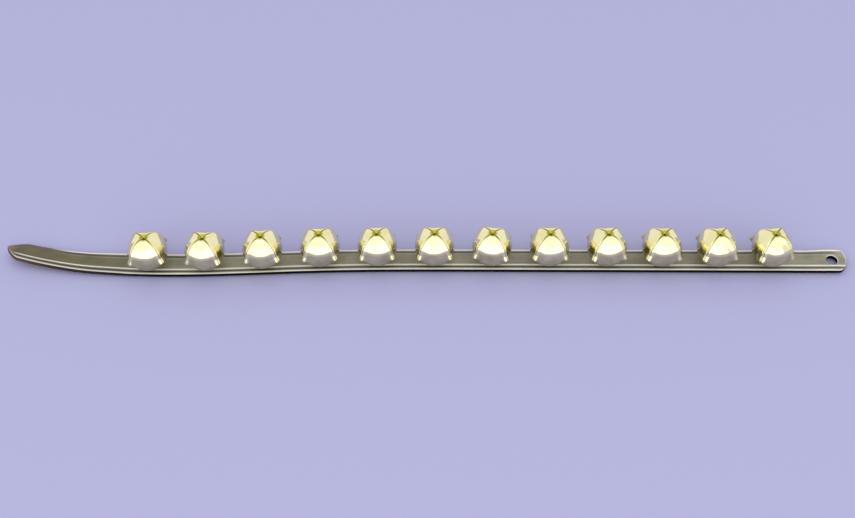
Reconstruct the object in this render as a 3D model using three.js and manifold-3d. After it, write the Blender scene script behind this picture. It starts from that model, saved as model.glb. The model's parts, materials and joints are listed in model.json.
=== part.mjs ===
// Bell strap: a flat leather strap that carries a row of four-petal jingle bells.
// Each bell is a slotted shell with a loose pea inside, held by one rivet through its crown
// and the strap, with a burr on the strap's back.
// Millimetres, +Z up. The strap lies along X: the tail is at -X and the hanging hole at +X.
// The origin is on the surface that the burrs rest on, below the middle of the object.

import * as THREE from "three";
import { mergeVertices } from "three/addons/utils/BufferGeometryUtils.js";
import Module from "manifold-3d";

// Strap
const STRAP_WIDTH = 19;
const STRAP_THICKNESS = 3.3;
const EDGE_BEVEL = 0.8;
const CREASE_INSET = 2.9;
const CREASE_WIDTH = 2.6;
const CREASE_DEPTH = 0.7;
const HANGING_HOLE_DIAMETER = 7;
const HANGING_HOLE_FROM_END = 10.9;

// Strap ends: each rounds off to a tip a little beside the strap's middle, over a length of its own
// on the near (-Y) and the far (+Y) side. The power is 1 for a straight bevel and 2 for an ellipse.
const END_TIP_OFFSET = 1.7;
const END_NEAR_LENGTH = 7;
const END_FAR_LENGTH = 3;
const END_NEAR_POWER = 1.6;
const END_FAR_POWER = 2;
const TAIL_TIP_OFFSET = 0.8;
const TAIL_NEAR_LENGTH = 12;
const TAIL_FAR_LENGTH = 13;
const TAIL_POWER = 1.3;

// How the strap lies: a shallow bow in the plane, and a tail that sweeps aside, lifts and twists
const BOW_DEPTH = 5.6;
const BOW_FROM_TAIL = 120.3;
const BOW_SPAN = 92;
const STRAIGHT_BEFORE_BELLS = 37;
const TAIL_SWEEP = 7.9;
const TAIL_LIFT = 3.7;
const LEVEL_BEFORE_BELLS = 14;
const TAIL_TWIST_DEG = 20.5;

// Row of bells along the strap
const BELL_COUNT = 12;
const CLOSE_COUNT = 3;
const TAIL_TO_FIRST_BELL = 106.3;
const BELL_SPACE = 11.8;
const CLOSE_SPACE = 9.9;
const LAST_BELL_TO_END = 56.4;
const BELL_TWISTS_DEG = [4, -1, 3, 3, 2, 1, -7, 1, 5, 2, 5, 8];

// Bell shell
const BELL_RADIUS = 14.3;
const SHELL_WALL = 0.8;
const PETALS = 4;
const APEX_FLATTENING = 0.5;
const PETAL_DIP = 0.5;
const HIP_RISE = 0.5;
const PANEL_END_DEG = 150;
const MOUTH_RADIUS = 1.3;
const FUNNEL_RADIUS = 2.9;
const FUNNEL_DEPTH = 2.2;
const SLOT_WIDTH = 0.5;
const SLOT_EYE_RADIUS = 0.8;
const SLOT_EYE_DROP = 0.8;
const RIDGE_RISE = 0.6;
const RIDGE_CREST = 1.2;
const RIDGE_INNER_SPREAD = 1.2;
const RIDGE_OUTER_SPREAD = 2.2;
const RIDGE_FADE = 7;
const KNOB_RISE = 2.8;
const KNOB_HALF_WIDTH = 2.7;
const KNOB_LENGTH = 6;
const KNOB_DROP = 1.9;
const CROWN_FLAT_MARGIN = 0.1;

// Pea, rivet and burr
const PEA_RADIUS = 4.5;
const RIVET_RADIUS = 1.6;
const RIVET_HEAD_RIM = 1.8;
const RIVET_HEAD_HEIGHT = 1.2;
const UPSET_RIM = 1;
const UPSET_RECESS = 0.1;
const BURR_RIM = 2.05;
const BURR_LAND = 0.3;
const BURR_THICKNESS = 1.2;

// Clearances
const SEAT_GAP = 0.3;
const BORE_GAP = 0.35;

// Facets
const STRAP_STEP = 20;
const SWEEP_STEPS = 6;
const END_STEPS = 8;
const HOLE_SIDES = 16;
const ROUND_SIDES = 10;
const PANEL_ROWS = 2;
const KNOB_ROWS = 2;
const EYE_ROWS = 2;
const DOME_ROWS = 3;

// Rivet and burr radii
const BORE_RADIUS = RIVET_RADIUS + BORE_GAP;
const RIVET_HEAD_RADIUS = RIVET_RADIUS + RIVET_HEAD_RIM;
const UPSET_RADIUS = RIVET_RADIUS + UPSET_RIM;
const COUNTERSINK_RADIUS = UPSET_RADIUS + BORE_GAP;
const BURR_RADIUS = COUNTERSINK_RADIUS + BURR_RIM;
const UPSET_TOP = BURR_THICKNESS - BURR_LAND;

// Levels, from the surface upwards
const STRAP_BOTTOM = BURR_THICKNESS + SEAT_GAP;
const STRAP_TOP = STRAP_BOTTOM + STRAP_THICKNESS;
const CROWN_FLAT_RADIUS = RIVET_HEAD_RADIUS + CROWN_FLAT_MARGIN;
const CROWN_ANGLE = Math.PI - Math.asin(CROWN_FLAT_RADIUS / BELL_RADIUS);
const CROWN_DROP = -BELL_RADIUS * Math.cos(CROWN_ANGLE);
const CROWN_INNER_DROP = -(BELL_RADIUS - SHELL_WALL) * Math.cos(CROWN_ANGLE);
const BELL_CENTRE = STRAP_TOP + SEAT_GAP + CROWN_DROP;
const RIVET_HEAD_BOTTOM = BELL_CENTRE - CROWN_INNER_DROP + SEAT_GAP;
const RIVET_HEAD_TOP = RIVET_HEAD_BOTTOM + RIVET_HEAD_HEIGHT;
const PEA_CENTRE = RIVET_HEAD_TOP + SEAT_GAP + PEA_RADIUS;

// Turn of a petal, and polar angles down from the mouth
const PETAL_TURN = (2 * Math.PI) / PETALS;
const PANEL_END = THREE.MathUtils.degToRad(PANEL_END_DEG);
const MOUTH_POLAR = Math.asin(MOUTH_RADIUS / (BELL_RADIUS - APEX_FLATTENING));
const FUNNEL_POLAR = Math.asin(FUNNEL_RADIUS / BELL_RADIUS);
const EYE_POLAR = Math.PI / 2 + SLOT_EYE_DROP / BELL_RADIUS;
const EYE_HALF_ANGLE = SLOT_EYE_RADIUS / BELL_RADIUS;
const SLOT_MEETS_EYE =
  EYE_POLAR - Math.sqrt(SLOT_EYE_RADIUS ** 2 - (SLOT_WIDTH / 2) ** 2) / BELL_RADIUS;
const KNOB_TOP = SLOT_MEETS_EYE - KNOB_LENGTH / BELL_RADIUS;
const KNOB_BOTTOM = SLOT_MEETS_EYE + KNOB_DROP / BELL_RADIUS;

// Stations along the strap
const BELL_PITCH = 2 * BELL_RADIUS + BELL_SPACE;
const CLOSE_PITCH = 2 * BELL_RADIUS + CLOSE_SPACE;
const SWEEP_LENGTH = TAIL_TO_FIRST_BELL - STRAIGHT_BEFORE_BELLS;
const TWIST_LENGTH = TAIL_TO_FIRST_BELL - LEVEL_BEFORE_BELLS;
const FIRST_TO_LAST_BELL =
  BELL_PITCH * (BELL_COUNT - CLOSE_COUNT - 1) + CLOSE_PITCH * CLOSE_COUNT;
const STRAP_LENGTH = TAIL_TO_FIRST_BELL + FIRST_TO_LAST_BELL + LAST_BELL_TO_END;
const TAIL_X = -STRAP_LENGTH / 2;
const END_X = STRAP_LENGTH / 2;
const SWEEP_START_X = TAIL_X + SWEEP_LENGTH;

const wasm = await Module();
wasm.setup();

const LEATHER = { color: 0x6a6552, roughness: 0.55, metalness: 0 };
const BRASS = { color: 0xd9b84e, roughness: 0.15, metalness: 1 };
const STEEL = { color: 0xa8a9a6, roughness: 0.3, metalness: 1 };

function namedMesh(name, geometry, look) {
  geometry.computeVertexNormals();
  const mesh = new THREE.Mesh(geometry, new THREE.MeshStandardMaterial(look));
  mesh.name = name;
  return mesh;
}

function meshGeometry(points, triangles) {
  const geometry = new THREE.BufferGeometry();
  geometry.setAttribute("position", new THREE.Float32BufferAttribute(points, 3));
  geometry.setIndex(triangles);
  return geometry;
}

// Positions only, with shared corners merged
function welded(geometry) {
  const bare = geometry.clone();
  bare.deleteAttribute("normal");
  bare.deleteAttribute("uv");
  return mergeVertices(bare, 1e-4);
}

function toSolid(geometry) {
  const bare = welded(geometry);
  const mesh = new wasm.Mesh({
    numProp: 3,
    vertProperties: new Float32Array(bare.attributes.position.array),
    triVerts: new Uint32Array(bare.index.array),
  });
  return new wasm.Manifold(mesh);
}

function fromSolid(solid) {
  const mesh = solid.getMesh();
  return meshGeometry(Array.from(mesh.vertProperties), Array.from(mesh.triVerts));
}

// How far a station is into a length of tail: 0 where the length starts and 1 at the strap's end
function tailShare(x, length) {
  return Math.max(0, (TAIL_X + length - x) / length);
}

// Centre of the strap's underside at a station along X
function strapPoint(x) {
  const bow = (x - TAIL_X - BOW_FROM_TAIL) / BOW_SPAN;
  const sweep = tailShare(x, SWEEP_LENGTH);
  return new THREE.Vector3(
    x,
    -BOW_DEPTH * Math.exp(-bow * bow) + TAIL_SWEEP * sweep * sweep,
    STRAP_BOTTOM + TAIL_LIFT * sweep * sweep,
  );
}

// Directions along the strap, across it and up through the leather at a station
function strapAxes(x) {
  const reach = 0.5;
  const along = strapPoint(x + reach).sub(strapPoint(x - reach)).normalize();
  const twist = THREE.MathUtils.degToRad(TAIL_TWIST_DEG) * tailShare(x, TWIST_LENGTH);
  const across = new THREE.Vector3(-along.y, along.x, 0).normalize();
  across.applyAxisAngle(along, -twist);
  const up = new THREE.Vector3().crossVectors(along, across);
  return { along, across, up };
}

// Half of the strap's section, from the middle of the underside round to the middle of the face
function halfSection() {
  const half = STRAP_WIDTH / 2;
  const top = STRAP_THICKNESS;
  const bevel = Math.min(EDGE_BEVEL, STRAP_THICKNESS / 3);
  const crease = half - CREASE_INSET;
  return [
    [half - bevel, 0],
    [half, bevel],
    [half, top - bevel],
    [half - bevel, top],
    [crease + CREASE_WIDTH / 2, top],
    [crease, top - CREASE_DEPTH],
    [crease - CREASE_WIDTH / 2, top],
  ];
}

// The section swept along the strap's centre line, square at both ends
function strapBlank() {
  const right = halfSection();
  const left = right.map(([y, z]) => [-y, z]).reverse();
  const section = [...right, ...left];
  const sweepStep = SWEEP_LENGTH / SWEEP_STEPS;
  const stations = [];
  for (let i = 0; i < SWEEP_STEPS; i += 1) {
    stations.push(TAIL_X + i * sweepStep);
  }
  const steps = Math.ceil((END_X - SWEEP_START_X) / STRAP_STEP);
  for (let i = 0; i <= steps; i += 1) {
    stations.push(SWEEP_START_X + (i / steps) * (END_X - SWEEP_START_X));
  }

  const points = [];
  const triangles = [];
  for (const x of stations) {
    const { across, up } = strapAxes(x);
    for (const [y, z] of section) {
      const p = strapPoint(x).addScaledVector(across, y).addScaledVector(up, z);
      points.push(p.x, p.y, p.z);
    }
  }
  const count = section.length;
  for (let s = 0; s < stations.length - 1; s += 1) {
    for (let i = 0; i < count; i += 1) {
      const a = s * count + i;
      const b = s * count + ((i + 1) % count);
      triangles.push(a, b + count, a + count, a, b, b + count);
    }
  }
  const last = (stations.length - 1) * count;
  const outline = section.map(([y, z]) => new THREE.Vector2(y, z));
  for (const [a, b, c] of THREE.ShapeUtils.triangulateShape(outline, [])) {
    triangles.push(a, c, b);
    triangles.push(last + a, last + b, last + c);
  }
  return toSolid(meshGeometry(points, triangles));
}

// What is cut away round a strap end, which rounds off on both sides of its tip.
// The cutter's own +X points out of the strap, and its origin lies on the strap's middle line.
// The lengths and powers are those of its +Y and its -Y side.
function endCutter(tip, [plusLength, minusLength], [plusPower, minusPower]) {
  const half = STRAP_WIDTH / 2;
  const clear = STRAP_WIDTH;
  const shape = new THREE.Shape();
  shape.moveTo(-minusLength, -clear);
  shape.lineTo(clear, -clear);
  shape.lineTo(clear, clear);
  shape.lineTo(-plusLength, clear);
  for (let i = -END_STEPS; i <= END_STEPS; i += 1) {
    const angle = ((Math.PI / 2) * Math.abs(i)) / END_STEPS;
    const length = i < 0 ? plusLength : minusLength;
    const power = i < 0 ? plusPower : minusPower;
    const width = i < 0 ? half - tip : -half - tip;
    const back = length * (1 - Math.cos(angle) ** (2 / power));
    shape.lineTo(-back, tip + width * Math.sin(angle) ** (2 / power));
  }
  const options = { depth: 2 * clear, bevelEnabled: false };
  return new THREE.ExtrudeGeometry(shape, options).translate(0, 0, -clear);
}

// A round cutter through the strap at a station along X
function strapBore(x, radius, sides) {
  const at = strapPoint(x);
  const bore = new THREE.CylinderGeometry(radius, radius, 2 * STRAP_TOP, sides);
  bore.rotateX(Math.PI / 2);
  bore.translate(at.x, at.y, STRAP_TOP - STRAP_THICKNESS / 2);
  return toSolid(bore);
}

function strapGeometry(bellStations) {
  let solid = strapBlank();
  const tailLengths = [TAIL_NEAR_LENGTH, TAIL_FAR_LENGTH];
  const endLengths = [END_FAR_LENGTH, END_NEAR_LENGTH];
  const endPowers = [END_FAR_POWER, END_NEAR_POWER];
  const ends = [
    [TAIL_X, -1, endCutter(-TAIL_TIP_OFFSET, tailLengths, [TAIL_POWER, TAIL_POWER])],
    [END_X, 1, endCutter(END_TIP_OFFSET, endLengths, endPowers)],
  ];
  for (const [x, outward, cutter] of ends) {
    const { along, across, up } = strapAxes(x);
    along.multiplyScalar(outward);
    across.multiplyScalar(outward);
    cutter.applyMatrix4(new THREE.Matrix4().makeBasis(along, across, up).setPosition(strapPoint(x)));
    solid = solid.subtract(toSolid(cutter));
  }
  for (const x of bellStations) {
    solid = solid.subtract(strapBore(x, BORE_RADIUS, ROUND_SIDES));
  }
  const holeX = END_X - HANGING_HOLE_FROM_END;
  solid = solid.subtract(strapBore(holeX, HANGING_HOLE_DIAMETER / 2, HOLE_SIDES));
  return fromSolid(solid);
}

// How far the petals' panels lie off the sphere: dipped in the middle and raised at the slots
function panelRise(polar, fromMiddle) {
  const hip = (1 / Math.cos(fromMiddle) - 1) / (1 / Math.cos(PETAL_TURN / 2) - 1);
  const share = Math.sin(Math.PI * Math.min(1, polar / PANEL_END)) ** 2;
  return share * ((PETAL_DIP + HIP_RISE) * hip - PETAL_DIP);
}

// How far the top is flattened, and the petals' tips are bent down into the mouth
function mouthDrop(polar) {
  if (polar > Math.PI / 2) {
    return 0;
  }
  const fromAxis = BELL_RADIUS * Math.sin(polar);
  const share = 1 - THREE.MathUtils.smoothstep(fromAxis, MOUTH_RADIUS, FUNNEL_RADIUS);
  return APEX_FLATTENING * Math.cos(polar) ** 4 + FUNNEL_DEPTH * share;
}

// The ridge along a slot, which ramps out to a knob at the slot's end and drops off below it
function lipRise(polar, fromSlot) {
  const pastFunnel = (polar - FUNNEL_POLAR) * BELL_RADIUS;
  const pastTip = (polar - SLOT_MEETS_EYE) * BELL_RADIUS;
  const spread = fromSlot < RIDGE_CREST ? RIDGE_INNER_SPREAD : RIDGE_OUTER_SPREAD;
  const ridge =
    Math.exp(-(((fromSlot - RIDGE_CREST) / spread) ** 2)) *
    THREE.MathUtils.smoothstep(pastFunnel, -RIDGE_FADE / 2, RIDGE_FADE / 2) *
    THREE.MathUtils.smoothstep(-pastTip, 0, KNOB_LENGTH / 2);
  const ramp = Math.max(0, 1 + pastTip / KNOB_LENGTH) ** 1.5;
  const drop = Math.sqrt(Math.max(0, 1 - (pastTip / KNOB_DROP) ** 2));
  const across = Math.sqrt(Math.max(0, 1 - (fromSlot / KNOB_HALF_WIDTH) ** 3));
  const knob = across * (pastTip < 0 ? ramp : drop);
  return Math.max(RIDGE_RISE * ridge, KNOB_RISE * knob);
}

// Point of the shell, in by an inset from its outer surface. The polar angle runs down from the
// mouth, and the turn runs round from the middle of a petal, so the slots lie at half a petal's turn.
function bellPoint(polar, turn, inset) {
  const local = turn - PETAL_TURN * Math.round(turn / PETAL_TURN);
  const fromSlot = (PETAL_TURN / 2 - Math.abs(local)) * BELL_RADIUS * Math.sin(polar);
  const rise = panelRise(polar, local) - mouthDrop(polar) + lipRise(polar, fromSlot);
  const radius = BELL_RADIUS + rise - inset;
  return [
    radius * Math.sin(polar) * Math.cos(turn),
    radius * Math.sin(polar) * Math.sin(turn),
    radius * Math.cos(polar),
  ];
}

// Half of the gap between two petals at a polar angle
function halfGap(polar) {
  if (polar < SLOT_MEETS_EYE) {
    return SLOT_WIDTH / 2;
  }
  const share = Math.min(1, Math.abs(polar - EYE_POLAR) / EYE_HALF_ANGLE);
  return SLOT_EYE_RADIUS * Math.sqrt(1 - share * share);
}

// Rows of the shell from the mouth down to the crown's flat, and how many of them the slots cross
function bellRows() {
  const eyeBottom = EYE_POLAR + EYE_HALF_ANGLE;
  const rows = [MOUTH_POLAR];
  for (let i = 0; i < PANEL_ROWS; i += 1) {
    rows.push(FUNNEL_POLAR + (i / PANEL_ROWS) * (KNOB_TOP - FUNNEL_POLAR));
  }
  for (let i = 0; i < KNOB_ROWS; i += 1) {
    rows.push(KNOB_TOP + (i / KNOB_ROWS) * (SLOT_MEETS_EYE - KNOB_TOP));
  }
  for (let i = 0; i < EYE_ROWS; i += 1) {
    rows.push(SLOT_MEETS_EYE + (i / EYE_ROWS) * (eyeBottom - SLOT_MEETS_EYE));
  }
  const slotRows = rows.length;
  rows.push(eyeBottom);
  for (let i = 0; i <= DOME_ROWS; i += 1) {
    rows.push(KNOB_BOTTOM + (i / DOME_ROWS) * (CROWN_ANGLE - KNOB_BOTTOM));
  }
  return { rows, slotRows };
}

// Columns of a petal at a polar angle, as shares of its half width: its edges, the crests of the
// ridges along them, the feet of the knobs and its middle
function petalShares(polar) {
  const halfWidth = (PETAL_TURN / 2) * BELL_RADIUS * Math.sin(polar);
  const crest = 1 - Math.min(0.3, RIDGE_CREST / halfWidth);
  const foot = 1 - Math.min(0.6, KNOB_HALF_WIDTH / halfWidth);
  return [-1, -crest, -foot, 0, foot, crest, 1];
}

// The slotted shell about its own centre, as an outer and an inner skin joined along the slots,
// the petal tips and the rivet's bore through the crown
function bellShellGeometry() {
  const { rows, slotRows } = bellRows();
  const boreShares = petalShares(CROWN_ANGLE);
  const width = boreShares.length;
  const points = [];
  const triangles = [];

  const corner = (layer, row, petal, column) =>
    ((layer * (rows.length + 1) + row) * PETALS + petal) * width + column;
  const quad = (a, b, c, d) => triangles.push(a, b, c, a, c, d);

  for (const [inset, drop] of [[0, CROWN_DROP], [SHELL_WALL, CROWN_INNER_DROP]]) {
    rows.forEach((polar, row) => {
      const gap = row < slotRows ? halfGap(polar) : 0;
      const halfTurn = PETAL_TURN / 2 - Math.asin(gap / (BELL_RADIUS * Math.sin(polar)));
      for (let petal = 0; petal < PETALS; petal += 1) {
        for (const share of petalShares(polar)) {
          points.push(...bellPoint(polar, petal * PETAL_TURN + share * halfTurn, inset));
        }
      }
    });
    for (let petal = 0; petal < PETALS; petal += 1) {
      for (const share of boreShares) {
        const turn = (petal + share / 2) * PETAL_TURN;
        points.push(BORE_RADIUS * Math.cos(turn), BORE_RADIUS * Math.sin(turn), -drop);
      }
    }
  }

  const lastColumn = width - 1;
  for (let petal = 0; petal < PETALS; petal += 1) {
    for (let column = 0; column < lastColumn; column += 1) {
      const at = (layer, row, step) => corner(layer, row, petal, column + step);
      for (let row = 0; row < rows.length; row += 1) {
        quad(at(0, row, 0), at(0, row + 1, 0), at(0, row + 1, 1), at(0, row, 1));
        quad(at(1, row, 0), at(1, row, 1), at(1, row + 1, 1), at(1, row + 1, 0));
      }
      quad(at(0, 0, 0), at(0, 0, 1), at(1, 0, 1), at(1, 0, 0));
      const bore = rows.length;
      quad(at(0, bore, 0), at(1, bore, 0), at(1, bore, 1), at(0, bore, 1));
    }
    for (let row = 0; row < slotRows; row += 1) {
      const start = (layer, step) => corner(layer, row + step, petal, 0);
      const end = (layer, step) => corner(layer, row + step, petal, lastColumn);
      quad(start(0, 0), start(1, 0), start(1, 1), start(0, 1));
      quad(end(0, 0), end(0, 1), end(1, 1), end(1, 0));
    }
  }
  return welded(meshGeometry(points, triangles));
}

function lathe(profile) {
  const outline = profile.map(([r, z]) => new THREE.Vector2(r, z));
  return welded(new THREE.LatheGeometry(outline, ROUND_SIDES).rotateX(Math.PI / 2));
}

// Head inside the bell, shank through crown and strap, end upset into the burr's countersink
function rivetGeometry() {
  return lathe([
    [0, UPSET_RECESS],
    [UPSET_RADIUS, UPSET_RECESS],
    [RIVET_RADIUS, UPSET_TOP],
    [RIVET_RADIUS, RIVET_HEAD_BOTTOM],
    [RIVET_HEAD_RADIUS, RIVET_HEAD_BOTTOM],
    [RIVET_HEAD_RADIUS, RIVET_HEAD_BOTTOM + RIVET_HEAD_HEIGHT / 2],
    [RIVET_RADIUS, RIVET_HEAD_TOP],
    [0, RIVET_HEAD_TOP],
  ]);
}

// Washer on the strap's back, countersunk for the rivet's upset end
function burrGeometry() {
  return lathe([
    [COUNTERSINK_RADIUS, 0],
    [BURR_RADIUS, 0],
    [BURR_RADIUS, BURR_THICKNESS],
    [BORE_RADIUS, BURR_THICKNESS],
    [BORE_RADIUS, UPSET_TOP],
    [COUNTERSINK_RADIUS, UPSET_RECESS],
    [COUNTERSINK_RADIUS, 0],
  ]);
}

function bellStations() {
  const stations = [];
  let x = TAIL_X + TAIL_TO_FIRST_BELL;
  for (let i = 0; i < BELL_COUNT; i += 1) {
    stations.push(x);
    x += i + 1 < BELL_COUNT - CLOSE_COUNT ? BELL_PITCH : CLOSE_PITCH;
  }
  return stations;
}

const bellStrap = new THREE.Group();
const stations = bellStations();
bellStrap.add(namedMesh("strap", strapGeometry(stations), LEATHER));

stations.forEach((x, i) => {
  const number = String(i + 1).padStart(2, "0");
  const at = strapPoint(x);
  const place = new THREE.Group();
  place.position.set(at.x, at.y, 0);

  const shell = namedMesh(`bell_shell_${number}`, bellShellGeometry(), BRASS);
  shell.position.z = BELL_CENTRE;
  const twist = BELL_TWISTS_DEG[i % BELL_TWISTS_DEG.length];
  shell.rotation.z = THREE.MathUtils.degToRad(twist);
  const ball = welded(new THREE.IcosahedronGeometry(PEA_RADIUS, 1));
  const pea = namedMesh(`pea_${number}`, ball, STEEL);
  pea.position.z = PEA_CENTRE;
  place.add(shell, pea);
  place.add(namedMesh(`rivet_${number}`, rivetGeometry(), STEEL));
  place.add(namedMesh(`burr_${number}`, burrGeometry(), STEEL));
  bellStrap.add(place);
});

// The origin lies below the middle of the whole object
const bounds = new THREE.Box3().setFromObject(bellStrap, true);
const middle = bounds.getCenter(new THREE.Vector3());
bellStrap.position.set(-middle.x, -middle.y, -bounds.min.z);

export default bellStrap;
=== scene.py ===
"""A leather strap with a row of four-petal brass bells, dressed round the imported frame.

Metres and radians, +Z up. The strap lies along X, with its tail at -X and its hanging hole at +X.
"""

import json
import math

import bmesh
import bpy
from mathutils import Matrix, Vector, noise
from mathutils.geometry import delaunay_2d_cdt


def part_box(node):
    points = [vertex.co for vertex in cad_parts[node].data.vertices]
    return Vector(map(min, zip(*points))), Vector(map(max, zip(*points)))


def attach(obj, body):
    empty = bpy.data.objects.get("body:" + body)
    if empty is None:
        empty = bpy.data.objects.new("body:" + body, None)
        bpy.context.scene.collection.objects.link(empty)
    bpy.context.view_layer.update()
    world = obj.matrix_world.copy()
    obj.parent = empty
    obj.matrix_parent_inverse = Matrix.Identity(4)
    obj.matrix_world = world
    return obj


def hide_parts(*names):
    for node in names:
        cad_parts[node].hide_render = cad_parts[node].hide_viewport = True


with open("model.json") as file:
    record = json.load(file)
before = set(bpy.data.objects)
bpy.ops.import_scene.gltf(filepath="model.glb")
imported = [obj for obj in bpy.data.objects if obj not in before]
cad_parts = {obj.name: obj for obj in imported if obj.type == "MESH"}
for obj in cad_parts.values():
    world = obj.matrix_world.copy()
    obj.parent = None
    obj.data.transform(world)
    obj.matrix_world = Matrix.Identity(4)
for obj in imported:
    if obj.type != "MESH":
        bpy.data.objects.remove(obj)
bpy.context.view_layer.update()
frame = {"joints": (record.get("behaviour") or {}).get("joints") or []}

MM = 0.001

# Camera, at the photograph's viewing angle
PHOTO_WIDTH = 855
FOCAL_PIXELS = 1095.7
SENSOR_WIDTH = 36.0
CLIP_START = 0.01
VIEW_FROM_LAST_BELL = Vector((-241.88 * MM, 3.98 * MM))
VIEW_DISTANCE = 788.4 * MM
VIEW_ELEVATION = math.radians(49.16)
VIEW_AZIMUTH = math.radians(-1.2)
VIEW_ROLL = math.radians(-0.72)

# Studio
FLOOR_SIZE = 40.0
FLOOR_COLOUR = (0.39, 0.385, 0.61, 1)
FLOOR_ROUGHNESS = 0.9
WORLD_COLOUR = (1, 1, 1, 1)
WORLD_STRENGTH = 0.9
WALL_RADIANCE = 0.9
WALL_SIZE = (4.0, 1.8)
WALL_PLACE = Vector((0, -1.8, 0.9))
WALL_FACING = Vector((0, 1, 0))
TOP_RADIANCE = 0.4
TOP_SIZE = (4.0, 2.3)
TOP_PLACE = Vector((0, -0.65, 1.8))
TOP_FACING = Vector((0, 0, -1))

# Strap
STRAP_LENGTH = 601.4 * MM
STRAP_WIDTH = 19 * MM
STRAP_THICKNESS = 3.3 * MM
FACE_ROUND = 1.0 * MM
HOLE_ROUND = 0.45 * MM
BACK_ROUND = 0.6 * MM
BLACK_EDGE = 0.2 * MM
WALL_BULGE = 0.1 * MM
HANGING_HOLE_RADIUS = 3.8 * MM
HANGING_HOLE_FROM_END = 10.9 * MM
HOLE_BORDER = 2 * MM
HOLE_SWELL = 1.0 * MM
HOLE_SWELL_LENGTH = 11 * MM

# Waves of the leather: their height, and their sizes along and across the strap
LEATHER_WAVE = 0.1 * MM
FACE_WAVE_SIZE = (23 * MM, 9 * MM)
BACK_WAVE_SIZE = (12 * MM, 7 * MM)
FACE_WAVE_LAYER = 0
BACK_WAVE_LAYER = 5

# Strap ends: each rounds off to a tip a little beside the strap's middle, over a length of its own
# on the near (-Y) and the far (+Y) side. The power is 1 for a straight bevel and 2 for an ellipse.
END_TIP_OFFSET = 1.7 * MM
END_NEAR_LENGTH = 7 * MM
END_FAR_LENGTH = 3 * MM
END_NEAR_POWER = 1.6
END_FAR_POWER = 2.0
TAIL_TIP_OFFSET = 0.8 * MM
TAIL_NEAR_LENGTH = 12 * MM
TAIL_FAR_LENGTH = 13 * MM
TAIL_POWER = 1.3

# How the strap lies
BOW_DEPTH = 5.6 * MM
BOW_FROM_TAIL = 120.3 * MM
BOW_SPAN = 92 * MM
SWEEP_LENGTH = 69.3 * MM
TAIL_SWEEP = 7.9 * MM
TAIL_LIFT = 3.7 * MM
TWIST_LENGTH = 92.3 * MM
TAIL_TWIST = math.radians(20.5)
DIRECTION_STEP = 0.5 * MM

# Creases: the shoulder beside a crease has its place and its spread in half widths of the crease
CREASE_INSET = 2.9 * MM
CREASE_WIDTH = 2.6 * MM
CREASE_DEPTH = 0.7 * MM
SHOULDER_RISE = 0.12 * MM
SHOULDER_PLACE = 1.15
SHOULDER_SPREAD = 0.35
NEAR_CREASE_FROM_TAIL = 5 * MM
NEAR_CREASE_FADE = 8 * MM
FAR_CREASE_FROM_TAIL = 26 * MM
FAR_CREASE_FADE = 22 * MM
FAR_CREASE_FROM_END = 4 * MM
FAR_CREASE_END_FADE = 6 * MM

# Paling of the strap's face by wear and a painted highlight, as shares of full paling: on the inner
# shoulders of the creases, placed in half widths of a crease, much stronger on the near side, on the bead
# along the edges, and a painted highlight on one side of the hole's rim
RUB_HIGHLIGHT_PLACE = -1.2
RUB_HIGHLIGHT_SPREAD = 0.4
NEAR_RUB_HIGHLIGHT = 0.85
FAR_RUB_HIGHLIGHT = 0.1
NEAR_BEAD_WEAR_HIGHLIGHT = 0.55
NEAR_BEAD_WIDTH = 0.7 * MM
NEAR_BEAD_FROM_TAIL = 2 * MM
NEAR_BEAD_FADE = 9 * MM
FAR_BEAD_WEAR_HIGHLIGHT = 0.85
FAR_BEAD_WIDTH = 1.4 * MM
BEAD_EDGE = 0.6 * MM
END_BEAD_LOSS = 0.55
END_BEAD_LENGTH = 6 * MM
END_BEAD_FADE = 4 * MM
HOLE_HIGHLIGHT = 0.8
HOLE_HIGHLIGHT_WIDTH = 0.3 * MM
HOLE_LIT_SIDE = Vector((0.6, 0.8))
HOLE_HIGHLIGHT_SPREAD = 0.3
# Painted shade in the creases: its reach in half widths of a crease, and its strength on the near and far
# side
GROOVE_SHADE_REACH = 0.95
NEAR_GROOVE_SHADE = 1.0
FAR_GROOVE_SHADE = 0.7

# Strap mesh: its steps, its rings in from the edges, and its rows along the strap, which are given in
# millimetres from a crease's middle and from the strap's middle
STATION_STEP = 2 * MM
CORNER_STEPS = 24
HOLE_SIDES = 48
BORE_SIDES = 24
WALL_RINGS = 4
EDGE_INSETS = [0, 0.05 * MM, 0.16 * MM, 0.34 * MM, 0.6 * MM, 0.95 * MM, 1.35 * MM, 1.7 * MM]
BORE_INSETS = [0, 0.4 * MM]
CREASE_ROWS = [-2.3, -2.0, -1.75, -1.5, -1.25, -1.0, -0.7, -0.4, 0, 0.3, 0.6, 0.9]
MIDDLE_ROWS = [1.0, 2.0, 3.0, 3.8]
ROW_MARGIN = 0.3 * MM
FAR_FROM_EDGE = 1.0
PLAN_TOLERANCE = 1e-7
LEATHER_SHARP = math.radians(60)
GRAIN, EDGE, FLESH = range(3)

# Bell shell
BELL_RADIUS = 14.3 * MM
SHELL_WALL = 0.8 * MM
PETALS = 4
APEX_FLATTENING = 0.5 * MM
APEX_POWER = 4
PETAL_DIP = 0.5 * MM
HIP_RISE = 0.5 * MM
PANEL_END = math.radians(150)
MOUTH_RADIUS = 0.65 * MM
FUNNEL_RADIUS = 3.1 * MM
FUNNEL_DEPTH = 1.3 * MM
SLOT_WIDTH = 0.2 * MM
SLOT_FLARE = 0.05 * MM
SLOT_EYE_RADIUS = 0.45 * MM
SLOT_EYE_DROP = 0.8 * MM
RIDGE_RISE = 0.6 * MM
RIDGE_CREST = 0.7 * MM
RIDGE_INNER_SPREAD = 1.2 * MM
RIDGE_OUTER_SPREAD = 2.2 * MM
RIDGE_FADE = 7 * MM
RIDGE_AT_FUNNEL = 0.3
KNOB_RISE = 2.4 * MM
KNOB_HALF_WIDTH = 3.3 * MM
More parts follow.
